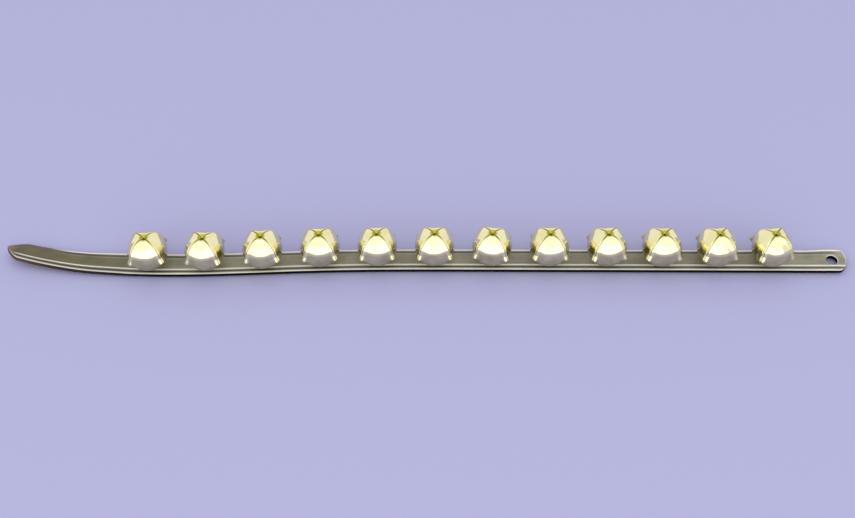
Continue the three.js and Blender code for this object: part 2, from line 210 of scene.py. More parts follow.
KNOB_FLAT = 1.2 * MM
KNOB_LENGTH = 5.2 * MM
KNOB_RAMP_POWER = 1.5
KNOB_DROP = 2.4 * MM
KNOB_LIFT = 0.2 * MM
LIP_JOIN_POWER = 4
CROWN_FLAT_RADIUS = 3.5 * MM
RIM_ROUND = 0.15 * MM
DENT_DEPTH = 0.07 * MM
DENT_SIZE = 6 * MM
BELL_TWISTS_DEG = [4, -1, 3, 3, 2, 1, -7, 1, 5, 2, 5, 8]

# Painted shade with a dull film on the body of a bell below the petals, darkening it as a darker floor's
# reflection would, and tarnish in its mouth and along the slots that run into it
FILM_SHADE = 0.62
FILM_SHADE_TOP = math.radians(65)
FILM_SHADE_FADE = math.radians(12)
FILM_SHADE_FROM_SLOT = 1.5 * MM
FILM_SHADE_EDGE = 0.9 * MM
CROWN_FILM_SHADE = 1.0
MOUTH_TARNISH_RADIUS = 2.4 * MM
MOUTH_TARNISH_EDGE = 1.2 * MM
SLOT_TARNISH_REACH = 0.35 * MM
SLOT_TARNISH_EDGE = 0.5 * MM
SLOT_TARNISH_POLAR = 0.25
SLOT_TARNISH_FADE = 0.55

# Bell mesh: rows down a petal, which crowd toward the slot's eye, and rows down the body below it
FUNNEL_ROWS = 8
PANEL_ROWS = 26
EYE_ROWS = 8
DOME_ROWS = 20
PETAL_COLUMNS = 40
CROWN_RINGS = 2
PANEL_CROWDING = 1.4
DOME_CROWDING = 1.5
SHELL_SHARP = math.radians(50)
POLISHED, DULL = range(2)
# The rim's section as shares of the wall and of its rounding, from the outside in
RIM_SECTION = [(0, 1), (0.1, 0.3), (0.3, 0), (0.7, 0), (0.9, 0.3), (1, 1)]

# Pea, rivet and burr
PEA_RADIUS = 4.5 * MM
PEA_SEAM = 0.12 * MM
PEA_SEAM_SHARE = 0.05
PEA_SEAM_TILT = 0.3
PEA_FLAT_DEPTH = 0.25 * MM
PEA_FLATS = 1.6
RIVET_RADIUS = 1.6 * MM
RIVET_HEAD_RADIUS = 3.4 * MM
RIVET_HEAD_HEIGHT = 1.2 * MM
RIVET_HEAD_RIM = 0.4 * MM
UPSET_RADIUS = 2.6 * MM
UPSET_RECESS = 0.1 * MM
BORE_RADIUS = 1.95 * MM
COUNTERSINK_RADIUS = 2.95 * MM
BURR_RADIUS = 5.0 * MM
BURR_THICKNESS = 1.2 * MM
BURR_LAND = 0.3 * MM
SEAT_GAP = 0.3 * MM
SMALL_ROUND = 0.15 * MM

# Meshes of the turned and tumbled pieces
LATHE_SIDES = 40
ROUND_STEPS = 4
HEAD_STEPS = 8
PEA_SUBDIVISIONS = 4
SAME_SPOT = 0.001 * MM
TURNED_SHARP = math.radians(45)
PEA_SHARP = math.radians(60)

# Finishes
SEED_STEP = 1.7
# Colour of the painted shade on the bells' lower bodies and crowns
FILM_SHADE_COLOUR = (0.26, 0.225, 0.15, 1)
FILM_ROUGHNESS = 0.12
TARNISH_COLOUR = (0.42, 0.39, 0.045, 1)
# Pale colour of wear and painted highlight on the strap's shoulders, beads and hole rim
WORN_HIGHLIGHT_COLOUR = (0.92, 0.89, 0.82, 1)
# Colour of the painted shade in the creases
CREASE_SHADE_COLOUR = (0.025, 0.022, 0.011, 1)
WRINKLE_SHARE = 0.8
STEEL_GAIN = 1.15
STEEL_SCUFF = 0.18
TURNING_SIZE = 1.2 * MM

# Places from the frame
BELL_CENTRES = {
    joint["child"]: Vector(joint["pos_m"])
    for joint in frame["joints"]
    if joint["child"].startswith("bell_")
}
BELL_BODIES = sorted(BELL_CENTRES)
STRAP_BOTTOM = BURR_THICKNESS + SEAT_GAP
END_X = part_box("strap")[1].x
TAIL_X = END_X - STRAP_LENGTH
LAST_BELL = BELL_CENTRES[BELL_BODIES[-1]]
LINE_Y = LAST_BELL.y
HALF_WIDTH = STRAP_WIDTH / 2
HOLE_X = END_X - HANGING_HOLE_FROM_END

# Angles and counts on a bell
PETAL_TURN = 2 * math.pi / PETALS
MOUTH_POLAR = math.asin(MOUTH_RADIUS / (BELL_RADIUS - APEX_FLATTENING))
FUNNEL_POLAR = math.asin(FUNNEL_RADIUS / BELL_RADIUS)
EYE_POLAR = math.pi / 2 + SLOT_EYE_DROP / BELL_RADIUS
CROWN_POLAR = math.pi - math.asin(CROWN_FLAT_RADIUS / BELL_RADIUS)
PETAL_ROWS = FUNNEL_ROWS + PANEL_ROWS
SLOT_ROWS = PETAL_ROWS + EYE_ROWS


def mix(a, b, share):
    return a + (b - a) * share


def smooth_step(share):
    share = min(1.0, max(0.0, share))
    return share * share * (3 - 2 * share)


def new_object(name, mesh, finishes):
    for finish in finishes:
        mesh.materials.append(finish)
    made = bpy.data.objects.new(name, mesh)
    bpy.context.scene.collection.objects.link(made)
    return made


def finished_mesh(name, shape, sharp_angle):
    """A smooth-shaded mesh from a bmesh, creased where its faces meet at more than the angle."""
    bmesh.ops.recalc_face_normals(shape, faces=shape.faces)
    mesh = bpy.data.meshes.new(name)
    shape.to_mesh(mesh)
    shape.free()
    mesh.shade_smooth()
    mesh.set_sharp_from_angle(angle=sharp_angle)
    return mesh


def set_seed(mesh, seed):
    """One number for the whole mesh, which moves its finish's pattern to a place of its own."""
    attribute = mesh.attributes.new("seed", "FLOAT", "POINT")
    attribute.data.foreach_set("value", [seed] * len(mesh.vertices))


# Finishes


class Finish:
    """A Principled material whose nodes are added one call at a time."""

    def __init__(self, name, **values):
        self.material = bpy.data.materials.new(name)
        self.material.use_nodes = True
        self.tree = self.material.node_tree
        self.shader = self.tree.nodes["Principled BSDF"]
        self.set(**values)

    def set(self, **values):
        for key, value in values.items():
            self.join(value, self.shader.inputs[key.replace("_", " ")])

    def join(self, value, target):
        if isinstance(value, bpy.types.NodeSocket):
            self.tree.links.new(value, target)
        else:
            target.default_value = value

    def node(self, kind, inputs, output=0, **settings):
        made = self.tree.nodes.new(kind)
        for key, value in settings.items():
            setattr(made, key, value)
        for key, value in inputs.items():
            self.join(value, made.inputs[key])
        return made.outputs[output]

    def spot(self):
        """Coordinates in the piece itself."""
        return self.node("ShaderNodeTexCoord", {}, "Object")

    def place(self, stretch=(1, 1, 1)):
        """Coordinates in the piece itself, moved by the mesh's seed."""
        seed = self.attribute("seed")
        moved = self.node("ShaderNodeVectorMath", {0: self.spot(), 1: seed}, operation="ADD")
        return self.node("ShaderNodeMapping", {"Vector": moved, "Scale": stretch})

    def attribute(self, name):
        return self.node("ShaderNodeAttribute", {}, "Fac", attribute_name=name)

    def noise(self, place, size, detail, roughness=0.55):
        inputs = {"Vector": place, "Scale": 1 / size, "Detail": detail, "Roughness": roughness}
        return self.node("ShaderNodeTexNoise", inputs)

    def cells(self, place, size):
        inputs = {"Vector": place, "Scale": 1 / size}
        return self.node("ShaderNodeTexVoronoi", inputs, feature="SMOOTH_F1")

    def rings(self, place, size):
        """Slightly uneven rings round Z."""
        inputs = {"Vector": place, "Scale": 1 / size, "Distortion": 0.6, "Detail": 2}
        return self.node("ShaderNodeTexWave", inputs, 1, wave_type="RINGS", rings_direction="Z")

    def ramp(self, factor, *stops):
        made = self.tree.nodes.new("ShaderNodeValToRGB")
        points = made.color_ramp.elements
        while len(points) < len(stops):
            points.new(1)
        for point, (at, colour) in zip(points, stops):
            point.position = at
            point.color = colour if isinstance(colour, tuple) else (colour, colour, colour, 1)
        self.join(factor, made.inputs["Fac"])
        return made.outputs["Color"]

    def blend(self, factor, first, second):
        inputs = {0: factor, 6: first, 7: second}
        return self.node("ShaderNodeMix", inputs, 2, data_type="RGBA")

    def tint(self, colour, by):
        """A colour times another."""
        inputs = {0: 1.0, 6: colour, 7: by}
        return self.node("ShaderNodeMix", inputs, 2, data_type="RGBA", blend_type="MULTIPLY")

    def math(self, operation, first, second):
        return self.node("ShaderNodeMath", {0: first, 1: second}, operation=operation)

    def fit(self, value, reach, onto):
        """A value whose reach, as its low and high ends, is carried onto another reach."""
        inputs = {"Value": value}
        inputs["From Min"], inputs["From Max"] = reach
        inputs["To Min"], inputs["To Max"] = onto
        return self.node("ShaderNodeMapRange", inputs)

    def relief(self, height, depth, under=None):
        """A bump that raises the surface by the depth where the height is 1."""
        inputs = {"Height": height, "Distance": depth, "Strength": 1.0}
        if under:
            inputs["Normal"] = under
        return self.node("ShaderNodeBump", inputs)


def brass_finish():
    """Polished pale brass: a bright mirror with faint waves and hairlines, painted shade with a dull film
    on the lower body, and tarnish.
    """
    finish = Finish("polished_brass", Metallic=1.0)
    place = finish.place()
    cloud = finish.noise(place, size=9 * MM, detail=5)
    tone = finish.ramp(
        cloud,
        (0.30, (0.90, 0.81, 0.42, 1)),
        (0.52, (0.94, 0.88, 0.52, 1)),
        (0.75, (0.95, 0.90, 0.57, 1)),
    )
    # Painted shade with a dull film: darker and rougher on the lower body and crown
    film_and_shade = finish.math("MULTIPLY", finish.attribute("film_and_shade"), finish.fit(cloud, (0.3, 0.7), (1.0, 0.5)))
    colour = finish.blend(film_and_shade, tone, FILM_SHADE_COLOUR)
    colour = finish.blend(finish.attribute("tarnish"), colour, TARNISH_COLOUR)
    smear = finish.fit(finish.noise(place, size=3 * MM, detail=4), (0.3, 0.75), (0.05, 0.13))
    roughness = finish.math("ADD", smear, finish.math("MULTIPLY", film_and_shade, FILM_ROUGHNESS))
    hairlines = finish.noise(finish.place(stretch=(1, 1, 9)), size=0.9 * MM, detail=2)
    waves = finish.noise(place, size=4 * MM, detail=1)
    normal = finish.relief(hairlines, depth=0.002 * MM)
    normal = finish.relief(waves, depth=0.03 * MM, under=normal)
    finish.set(Base_Color=colour, Roughness=roughness, Normal=normal)
    return finish.material


def inner_brass_finish():
    """The shell's inside: dull, stained brass that was never polished."""
    finish = Finish("dull_brass", Metallic=1.0)
    place = finish.place()
    stain = finish.noise(place, size=5 * MM, detail=6)
    colour = finish.ramp(
        stain,
        (0.30, (0.70, 0.65, 0.25, 1)),
        (0.55, (0.82, 0.78, 0.36, 1)),
        (0.80, (0.88, 0.84, 0.42, 1)),
    )
    roughness = finish.fit(stain, (0.3, 0.8), (0.45, 0.25))
    normal = finish.relief(finish.noise(place, size=0.8 * MM, detail=3), depth=0.02 * MM)
    finish.set(Base_Color=colour, Roughness=roughness, Normal=normal)
    return finish.material


def steel_finish(name, dark, light, roughness, turned=False):
    """Plain steel with mottled oxide, and turning rings round Z where it was turned."""
    finish = Finish(name, Metallic=1.0)
    place = finish.place()
    bright = tuple(min(1, STEEL_GAIN * value) for value in light)
    mottle = finish.noise(place, size=1.6 * MM, detail=6, roughness=0.65)
    colour = finish.ramp(mottle, (0.28, dark), (0.50, light), (0.72, bright))
    scuff = finish.noise(place, size=0.6 * MM, detail=4)
    scuff = finish.fit(scuff, (0.3, 0.7), (roughness, roughness + STEEL_SCUFF))
    normal = finish.relief(finish.noise(place, size=0.5 * MM, detail=4), depth=0.02 * MM)
    if turned:
        rings = finish.rings(finish.spot(), size=TURNING_SIZE)
        normal = finish.relief(rings, depth=0.012 * MM, under=normal)
    finish.set(Base_Color=colour, Roughness=scuff, Normal=normal)
    return finish.material


def along_strap(finish, *stops):
    """A colour that changes along the strap: stops as millimetres from the tail."""
    x = finish.node("ShaderNodeSeparateXYZ", {0: finish.spot()})
    share = finish.fit(x, (TAIL_X, END_X), (0.0, 1.0))
    return finish.ramp(share, *((at * MM / STRAP_LENGTH, colour) for at, colour in stops))


def grain_leather_finish():
    """Oiled grain side: olive grey face, shoulders and beads paled by wear and a painted highlight, and
    painted shade in the creases.
    """
    finish = Finish("grain_leather", Coat_Roughness=0.3)
    place = finish.place()
    # The face's own olive grey, tan at the tip and paler toward the hanging end; darker and browner over
    # the tail, partly its own tone and partly painted shade for the tail's tilted face
    face = along_strap(
        finish,
        (0, (0.230, 0.170, 0.135, 1)),
        (9, (0.092, 0.070, 0.022, 1)),
        (60, (0.094, 0.082, 0.026, 1)),
        (130, (0.200, 0.182, 0.120, 1)),
        (540, (0.200, 0.184, 0.124, 1)),
        (600, (0.250, 0.238, 0.175, 1)),
    )
    blotch = finish.noise(place, size=14 * MM, detail=5)
    streak = finish.noise(finish.place(stretch=(0.16, 1, 1)), size=2.2 * MM, detail=4)
    face = finish.tint(face, finish.ramp(blotch, (0.25, 0.70), (0.5, 1.0), (0.75, 1.28)))
    face = finish.tint(face, finish.ramp(streak, (0.3, 0.86), (0.7, 1.1)))
    # Paler where worn and where a highlight is painted on the shoulders, beads and hole rim
    rub_and_highlight = finish.math("MULTIPLY", finish.attribute("wear_and_highlight"), finish.fit(streak, (0.25, 0.6), (0.8, 1.0)))
    colour = finish.blend(rub_and_highlight, face, WORN_HIGHLIGHT_COLOUR)
    # Painted shade darkening the creases
    colour = finish.blend(finish.attribute("groove"), colour, CREASE_SHADE_COLOUR)
    wrinkle = finish.noise(place, size=1.5 * MM, detail=4)
    pebble = finish.cells(place, size=0.55 * MM)
    pebble = finish.math("ADD", pebble, finish.math("MULTIPLY", wrinkle, WRINKLE_SHARE))
    roughness = finish.fit(wrinkle, (0.3, 0.7), (0.40, 0.58))
    oil = along_strap(finish, (0, 0.1), (60, 0.2), (130, 0.4), (600, 0.4))
    normal = finish.relief(pebble, depth=0.03 * MM)
    finish.set(Base_Color=colour, Roughness=roughness, Coat_Weight=oil, Normal=normal)
    return finish.material


def edge_leather_finish():
    """Cut edge: dyed dark and burnished, with painted shade that takes it to near black along the strap;
    lighter brown at the tail, where less shade is painted.
    """
    finish = Finish("dyed_and_shaded_edge", Specular_IOR_Level=0.04)
    fibres = finish.noise(finish.place(stretch=(0.4, 1, 2)), size=0.5 * MM, detail=4)
    # Dark dye with painted shade: near black along the strap, lighter brown at the tail
    dye_and_shade = along_strap(
        finish,
        (0, (0.110, 0.070, 0.050, 1)),
        (40, (0.035, 0.024, 0.020, 1)),
        (110, (0.005, 0.004, 0.004, 1)),
        (600, (0.006, 0.005, 0.005, 1)),
    )
    colour = finish.tint(dye_and_shade, finish.ramp(fibres, (0.3, 0.6), (0.7, 1.5)))
    roughness = finish.fit(fibres, (0.3, 0.7), (0.55, 0.8))
    finish.set(Base_Color=colour, Roughness=roughness, Normal=finish.relief(fibres, depth=0.05 * MM))
    return finish.material


def flesh_leather_finish():
    """Underside: the hide's fibrous tan nap."""
    finish = Finish("flesh_leather", Roughness=0.9, Specular_IOR_Level=0.2)
    place = finish.place()
    nap = finish.noise(place, size=0.7 * MM, detail=6, roughness=0.7)
    tan = finish.ramp(nap, (0.3, (0.120, 0.085, 0.050, 1)), (0.7, (0.260, 0.195, 0.125, 1)))
    stain = finish.noise(place, size=25 * MM, detail=4)
    colour = finish.tint(tan, finish.ramp(stain, (0.3, 0.75), (0.7, 1.15)))
    finish.set(Base_Color=colour, Normal=finish.relief(nap, depth=0.12 * MM))
    return finish.material


# Strap


def tail_share(x, length):
    """How far a station is into a length of tail: 0 where the length starts and 1 at the end."""
    return max(0.0, (TAIL_X + length - x) / length)


def strap_centre(x):
    """Centre of the strap's underside at a station along X."""
    bow = (x - TAIL_X - BOW_FROM_TAIL) / BOW_SPAN
    sweep = tail_share(x, SWEEP_LENGTH)
    y = LINE_Y - BOW_DEPTH * math.exp(-bow * bow) + TAIL_SWEEP * sweep**2
    return Vector((x, y, STRAP_BOTTOM + TAIL_LIFT * sweep**2))


def strap_point(x, across, height):
    """A point of the strap from its station, its place across and its height over the underside.
    The punch spread the leather between the hole and the far edge."""
    along = (strap_centre(x + DIRECTION_STEP) - strap_centre(x - DIRECTION_STEP)).normalized()
    level = Vector((-along.y, along.x, 0)).normalized()
    upright = along.cross(level)
    twist = TAIL_TWIST * tail_share(x, TWIST_LENGTH)
    side = level * math.cos(twist) - upright * math.sin(twist)
    swell = HOLE_SWELL * math.exp(-(((x - HOLE_X) / HOLE_SWELL_LENGTH) ** 2))
    across += swell * max(0.0, across / HALF_WIDTH)
    return strap_centre(x) + side * across + along.cross(side) * height


def strap_corners():
    """The outline's corners against the clock from the tail's far one: middles, radii and powers,
    with the ways along and across the strap that each one faces."""
    corners = []
    for x, outward, side, tip, length, power in (
        (TAIL_X, -1, 1, TAIL_TIP_OFFSET, TAIL_FAR_LENGTH, TAIL_POWER),
        (TAIL_X, -1, -1, TAIL_TIP_OFFSET, TAIL_NEAR_LENGTH, TAIL_POWER),
        (END_X, 1, -1, END_TIP_OFFSET, END_NEAR_LENGTH, END_NEAR_POWER),
        (END_X, 1, 1, END_TIP_OFFSET, END_FAR_LENGTH, END_FAR_POWER),
    ):
        middle = Vector((x - outward * length, tip))
        radii = Vector((length, HALF_WIDTH - side * tip))
        corners.append((middle, radii, power, Vector((outward, side))))
    return corners


STRAP_CORNERS = strap_corners()


def corner_spoke(angle, radii, power, inset):
    """From a corner's middle to its edge, or to a line inside that edge."""
    cosine = math.cos(angle)
    sine = math.sin(angle)
    return Vector((
        math.copysign(abs(cosine) ** (2 / power), cosine) * (radii.x - inset),
        math.copysign(abs(sine) ** (2 / power), sine) * (radii.y - inset),
    ))


def strap_outline(inset):
    """The strap's cut edge seen from above, moved in by the inset, against the clock."""
    points = []
    for i, (middle, radii, power, _) in enumerate(STRAP_CORNERS):
        start = math.pi / 2 * (i + 1)
        end = start + math.pi / 2
        for step in range(CORNER_STEPS):
            angle = mix(start, end, step / CORNER_STEPS)
            points.append(middle + corner_spoke(angle, radii, power, inset))
        first = middle + corner_spoke(end, radii, power, inset)
        next_middle, next_radii, next_power, _ = STRAP_CORNERS[(i + 1) % len(STRAP_CORNERS)]
        last = next_middle + corner_spoke(end, next_radii, next_power, inset)
        steps = round((last - first).length / STATION_STEP)
        points += [first.lerp(last, step / steps) for step in range(steps)]
    return points


def hole_outline(x, radius, sides, inset):
    """A round hole's edge, moved out into the leather by the inset, with the clock."""
    reach = radius + inset
    angles = [-2 * math.pi * i / sides for i in range(sides)]
    return [Vector((x + reach * math.cos(angle), reach * math.sin(angle))) for angle in angles]


def inside_strap(x, across, margin):
    """Whether a place on the strap's plan lies further in from its edges and holes than the margin."""
    if abs(across) > HALF_WIDTH - margin:
        return False
    for middle, radii, power, facing in STRAP_CORNERS:
        past = Vector(((x - middle.x) * facing.x, (across - middle.y) * facing.y))
        if min(past) > 0 and sum((p / (r - margin)) ** power for p, r in zip(past, radii)) > 1:
            return False
    if math.hypot(x - HOLE_X, across) < HANGING_HOLE_RADIUS + margin:
        return False
    return all(math.hypot(x - c.x, across) > BORE_RADIUS + margin for c in BELL_CENTRES.values())


def crease_share(across):
    """Distance from the nearer crease's middle, in half widths of a crease: minus is inwards."""
    return (abs(across) - (HALF_WIDTH - CREASE_INSET)) / (CREASE_WIDTH / 2)


def crease_strength(x, across):
    """Both creases fade out toward the tail, the far one sooner, which also stops short of the end."""
    if across < 0:
        return smooth_step((x - TAIL_X - NEAR_CREASE_FROM_TAIL) / NEAR_CREASE_FADE)
    from_tail = smooth_step((x - TAIL_X - FAR_CREASE_FROM_TAIL) / FAR_CREASE_FADE)
    return from_tail * smooth_step((END_X - x - FAR_CREASE_FROM_END) / FAR_CREASE_END_FADE)


def at_hole(x, across):
    """Whether a place on the strap's plan lies in the border of the hanging hole."""
    return math.hypot(x - HOLE_X, across) < HANGING_HOLE_RADIUS + HOLE_BORDER


def leather_wave(x, across, size, layer):
    """A gentle wave over the strap's plan, different in each layer."""
    return LEATHER_WAVE * noise.noise(Vector((x / size[0], across / size[1], layer)))


def rounding(inset, radius):
    """How far a rounded edge falls away at a distance in from the edge."""
    if inset >= radius:
        return 0.0
    return radius - math.sqrt(radius**2 - (radius - inset) ** 2)


def face_height(x, across, inset):
    """Height of the strap's face over its underside."""
    away = abs(crease_share(across))
    groove = CREASE_DEPTH * (1 - smooth_step(away))
    shoulder = SHOULDER_RISE * math.exp(-(((away - SHOULDER_PLACE) / SHOULDER_SPREAD) ** 2))
    crease = (shoulder - groove) * crease_strength(x, across)
    wave = leather_wave(x, across, FACE_WAVE_SIZE, FACE_WAVE_LAYER)
    fall = rounding(inset, HOLE_ROUND if at_hole(x, across) else FACE_ROUND)
    return STRAP_THICKNESS - fall + crease + wave


def back_height(x, across, inset):
    """Height of the strap's back over its underside."""
    wave = leather_wave(x, across, BACK_WAVE_SIZE, BACK_WAVE_LAYER)
    return rounding(inset, BACK_ROUND) + max(0.0, wave)


def bead_wear_and_highlight(x, across, inset):
    """Paling by wear and a painted highlight along the strap's edges, stronger on the far bead, and a
    painted highlight on one side of the hole's edge.
    """
    if at_hole(x, across):
        # Painted highlight on the side of the hole's rim that faces the far edge and the end
        lit_side = Vector((x - HOLE_X, across)).normalized().dot(HOLE_LIT_SIDE)
        wear_and_highlight = HOLE_HIGHLIGHT * smooth_step(HOLE_HIGHLIGHT_SPREAD + lit_side)
        return wear_and_highlight * (1 - smooth_step((inset - HOLE_HIGHLIGHT_WIDTH) / BEAD_EDGE))
    side = smooth_step(across / HALF_WIDTH + 0.5)
    near = NEAR_BEAD_WEAR_HIGHLIGHT * smooth_step((x - TAIL_X - NEAR_BEAD_FROM_TAIL) / NEAR_BEAD_FADE)
    far = FAR_BEAD_WEAR_HIGHLIGHT * smooth_step((x - TAIL_X - FAR_CREASE_FROM_TAIL) / FAR_CREASE_FADE)
    kept = 1 - END_BEAD_LOSS * smooth_step((x - END_X + END_BEAD_LENGTH) / END_BEAD_FADE)
    width = mix(NEAR_BEAD_WIDTH, FAR_BEAD_WIDTH, side)
    return mix(near, far, side) * kept * (1 - smooth_step((inset - width) / BEAD_EDGE))


def face_masks(x, across, inset):
    """Where the face is paled by wear and a painted highlight, and where painted shade darkens its
    creases.
    """
    is_near = across < 0
    away = crease_share(across)
    strength = crease_strength(x, across)
    # Wear with a painted highlight on the creases' inner shoulders, much stronger on the near side
    rub_and_highlight = math.exp(-(((away - RUB_HIGHLIGHT_PLACE) / RUB_HIGHLIGHT_SPREAD) ** 2)) * (NEAR_RUB_HIGHLIGHT if is_near else FAR_RUB_HIGHLIGHT)
    # Painted shade in the creases, stronger on the near side
    groove = (1 - smooth_step(abs(away) / GROOVE_SHADE_REACH)) * (NEAR_GROOVE_SHADE if is_near else FAR_GROOVE_SHADE)
    return {"wear_and_highlight": max(rub_and_highlight * strength, bead_wear_and_highlight(x, across, inset)), "groove": groove * strength}


def strap_plan():
    """The strap's plan as points with their distance in from an edge, edge loops, and triangles."""
    points = []
    insets = []
    loops = []
    lines = []

    def add_loop(outline, inset):
        ring = list(range(len(points), len(points) + len(outline)))
        points.extend(outline)
        insets.extend([inset] * len(outline))
        lines.extend(zip(ring, ring[1:] + ring[:1]))
        if inset == 0:
            loops.append(ring)

    def add_row(across):
        margin = EDGE_INSETS[-1] + ROW_MARGIN
        reached = None
        for i in range(1, round(STRAP_LENGTH / STATION_STEP)):
            x = TAIL_X + i * STATION_STEP
            if not inside_strap(x, across, margin):
                reached = None
                continue
            if reached is not None:
                lines.append((reached, len(points)))
            reached = len(points)
            points.append(Vector((x, across)))
            insets.append(FAR_FROM_EDGE)

    for inset in EDGE_INSETS:
        add_loop(strap_outline(inset), inset)
        add_loop(hole_outline(HOLE_X, HANGING_HOLE_RADIUS, HOLE_SIDES, inset), inset)
    for inset in BORE_INSETS:
        for centre in BELL_CENTRES.values():
            add_loop(hole_outline(centre.x, BORE_RADIUS, BORE_SIDES, inset), inset)
    rows = [HALF_WIDTH - CREASE_INSET + step * MM for step in CREASE_ROWS]
    rows += [step * MM for step in MIDDLE_ROWS]
    for across in [0.0] + rows + [-row for row in rows]:
        add_row(across)

    plan, _, faces, origins, _, _ = delaunay_2d_cdt(points, lines, [], 1, PLAN_TOLERANCE)
    holes = [(HOLE_X, HANGING_HOLE_RADIUS * math.cos(math.pi / HOLE_SIDES))]
    holes += [(c.x, BORE_RADIUS * math.cos(math.pi / BORE_SIDES)) for c in BELL_CENTRES.values()]
    triangles = []
    for face in faces:
        middle = sum((plan[i] for i in face), Vector((0, 0))) / len(face)
        if all(math.hypot(middle.x - x, middle.y) > reach for x, reach in holes):
            triangles.append([origins[i][0] for i in face])
    return points, insets, loops, triangles


def strap_mesh():
    """Face and back from one plan, with bulged walls between their edges."""
    points, insets, loops, triangles = strap_plan()
    shape = bmesh.new()
    layers = {name: shape.verts.layers.float.new(name) for name in ("wear_and_highlight", "groove", "seed")}

    def vertex(point, height, **masks):
        made = shape.verts.new(strap_point(point.x, point.y, height))
        for name, value in masks.items():
            made[layers[name]] = value
        return made

    face = []
    back = []
    for point, inset in zip(points, insets):
        masks = face_masks(point.x, point.y, inset)
        face.append(vertex(point, face_height(point.x, point.y, inset), **masks))
        back.append(vertex(point, back_height(point.x, point.y, inset)))

    for corners in triangles:
        # The face's outermost triangles take the dark edge finish with its painted shade
        at_edge = max(insets[i] for i in corners) < BLACK_EDGE
        top = shape.faces.new([face[i] for i in corners])
        top.material_index = EDGE if at_edge else GRAIN
        bottom = shape.faces.new([back[i] for i in reversed(corners)])
        bottom.material_index = EDGE if at_edge else FLESH

    bulges = strap_outline(-WALL_BULGE)
    for loop in loops:
        rings = [[face[i] for i in loop]]
        for ring in range(1, WALL_RINGS):
            share = ring / WALL_RINGS
            walls = []
            for i in loop:
                top = face_height(points[i].x, points[i].y, 0)
                low = back_height(points[i].x, points[i].y, 0)
                outermost = bulges[i] if loop is loops[0] else points[i]
                spot = points[i].lerp(outermost, math.sin(math.pi * share))
                walls.append(vertex(spot, mix(top, low, share)))
            rings.append(walls)
        rings.append([back[i] for i in loop])
        for upper, lower in zip(rings, rings[1:]):
            for i in range(len(loop)):
                wall = shape.faces.new((upper[i - 1], lower[i - 1], lower[i], upper[i]))
                wall.material_index = EDGE
    return finished_mesh("strap_leather", shape, LEATHER_SHARP)


# Bells


def panel_rise(polar, local):
    """How far the petals' panels lie off the sphere: dipped in the middle and raised at the slots."""
    hip = (1 / math.cos(local) - 1) / (1 / math.cos(PETAL_TURN / 2) - 1)
    share = math.sin(math.pi * min(1.0, polar / PANEL_END)) ** 2
    return share * ((PETAL_DIP + HIP_RISE) * hip - PETAL_DIP)


def mouth_drop(polar):
    """How far the top is flattened, and the petals' tips bent down into the mouth."""
    if polar > math.pi / 2:
        return 0.0
    from_axis = BELL_RADIUS * math.sin(polar)
    share = 1 - smooth_step((from_axis - MOUTH_RADIUS) / (FUNNEL_RADIUS - MOUTH_RADIUS))
    return APEX_FLATTENING * math.cos(polar) ** APEX_POWER + FUNNEL_DEPTH * share


def lip_rise(polar, from_slot):
    """The lip along a slot, which ramps out to a knob at the slot's end and drops off below it."""
    past_tip = (polar - EYE_POLAR) * BELL_RADIUS + KNOB_LIFT
    spread = RIDGE_OUTER_SPREAD if from_slot > RIDGE_CREST else RIDGE_INNER_SPREAD
    ridge = RIDGE_RISE * math.exp(-(((from_slot - RIDGE_CREST) / spread) ** 2))
    ridge *= smooth_step((polar - FUNNEL_POLAR) * BELL_RADIUS / RIDGE_FADE + RIDGE_AT_FUNNEL)
    ridge *= 1 - smooth_step(1 + past_tip / (KNOB_LENGTH / 2))
    knob = KNOB_RISE * (1 - smooth_step((from_slot - KNOB_FLAT) / (KNOB_HALF_WIDTH - KNOB_FLAT)))
    if past_tip < 0:
        knob *= max(0.0, 1 + past_tip / KNOB_LENGTH) ** KNOB_RAMP_POWER
    else:
        knob *= 1 - smooth_step(past_tip / KNOB_DROP)
    return (ridge**LIP_JOIN_POWER + knob**LIP_JOIN_POWER) ** (1 / LIP_JOIN_POWER)


def slot_distance(polar, local):
    """Distance round the sphere from a turn off the petal's middle to the petal's nearer slot."""
    return (PETAL_TURN / 2 - abs(local)) * BELL_RADIUS * math.sin(polar)


def bell_point(polar, turn, inset, seed):
    """A point of the shell about the bell's centre. The polar angle runs down from the mouth, and
    the turn runs round from the middle of a petal, so that the slots lie at half a petal's turn."""
    local = turn - PETAL_TURN * round(turn / PETAL_TURN)
    lip = lip_rise(polar, slot_distance(polar, local))
    radius = BELL_RADIUS + panel_rise(polar, local) - mouth_drop(polar) + lip
    level = math.sin(polar)
    outward = Vector((level * math.cos(turn), level * math.sin(turn), math.cos(polar)))
    dent = noise.noise(outward * (BELL_RADIUS / DENT_SIZE) + Vector((seed, 0, 0)))
    return outward * (radius + DENT_DEPTH * dent - inset)


def crowded(share):
    """A share of the way down a petal, with the rows crowding toward its lower end."""
    return 1 - (1 - share) ** PANEL_CROWDING


def slot_edge(row, offset):
    """Polar angle and half gap at a row of a slot's edge, at an offset back from the cut."""
    eye = SLOT_EYE_RADIUS + offset
    half_slot = SLOT_WIDTH / 2 + SLOT_FLARE * max(0.0, 1 - row / PETAL_ROWS) ** 2 + offset
    if row <= FUNNEL_ROWS:
        start = MOUTH_POLAR + offset / BELL_RADIUS
        return mix(start, FUNNEL_POLAR, row / FUNNEL_ROWS), half_slot
    if row <= PETAL_ROWS:
        end = EYE_POLAR - math.sqrt(eye**2 - half_slot**2) / BELL_RADIUS
        return mix(FUNNEL_POLAR, end, crowded((row - FUNNEL_ROWS) / PANEL_ROWS)), half_slot
    angle = mix(-math.acos(half_slot / eye), math.pi / 2, (row - PETAL_ROWS) / EYE_ROWS)
    return EYE_POLAR + eye * math.sin(angle) / BELL_RADIUS, eye * math.cos(angle)


